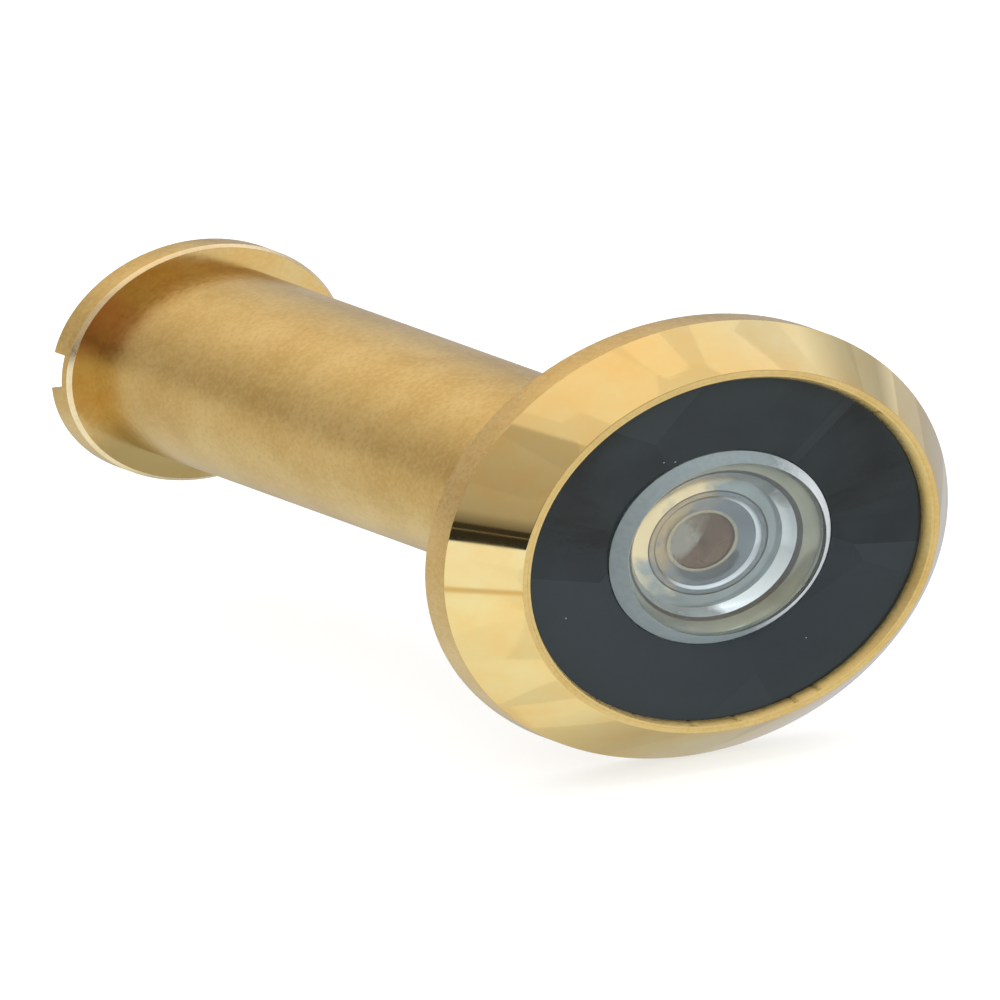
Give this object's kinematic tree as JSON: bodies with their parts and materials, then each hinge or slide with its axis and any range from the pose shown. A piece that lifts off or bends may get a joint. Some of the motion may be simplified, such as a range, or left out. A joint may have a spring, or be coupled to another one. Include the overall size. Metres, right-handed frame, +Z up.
{
  "type": "door viewer",
  "caption": "Wide-angle door viewer: bevelled round brass head with a lens in a black ring, and a slotted flanged sleeve that screws over its shank to clamp the door.",
  "frame": {"origin": "centre of the head's rear face, the annular face that bears on the street side of the door", "axes": "+Y along the optical axis into the room, -Y towards the street, +Z up, +X to the right when looking from the street"},
  "size_m": [0.032, 0.0511, 0.032],
  "materials": {
    "polished_brass": "mirror polished",
    "satin_brass": "satin, turned and brushed",
    "lens_glass": "polished optical glass",
    "black_rubber": "matte",
    "mask_black": "smooth glossy black",
    "baffle_black": "matte black, non-reflecting"
  },
  "bodies": {
    "street_half": {"outer_barrel": "polished_brass", "bezel_ring": "satin_brass", "front_lens": "lens_glass", "lens_seal": "black_rubber", "mask_ring": "mask_black", "second_lens": "lens_glass", "third_lens": "lens_glass", "baffle_tube": "baffle_black", "field_stop": "baffle_black", "lens_lock_ring": "satin_brass"},
    "eyepiece": {"eyepiece_washer": "black_rubber", "eyepiece_lens": "lens_glass", "eyepiece_ring": "satin_brass"},
    "sleeve": {"inner_barrel": "satin_brass"}
  },
  "joints": [
    {"name": "eyepiece_travel", "type": "slide", "parent": "street_half", "child": "eyepiece", "axis": [0, 1, 0], "range_m": [0, 0.0151]},
    {"name": "sleeve_screw", "type": "hinge", "parent": "eyepiece", "child": "sleeve", "pos_m": [0, 0.044, 0], "axis": [0, 1, 0], "range_deg": [0, 3600]}
  ],
  "couplings": [
    {"joint": "eyepiece_travel", "follows": "sleeve_screw", "m_per_rad": 0.00023873}
  ]
}
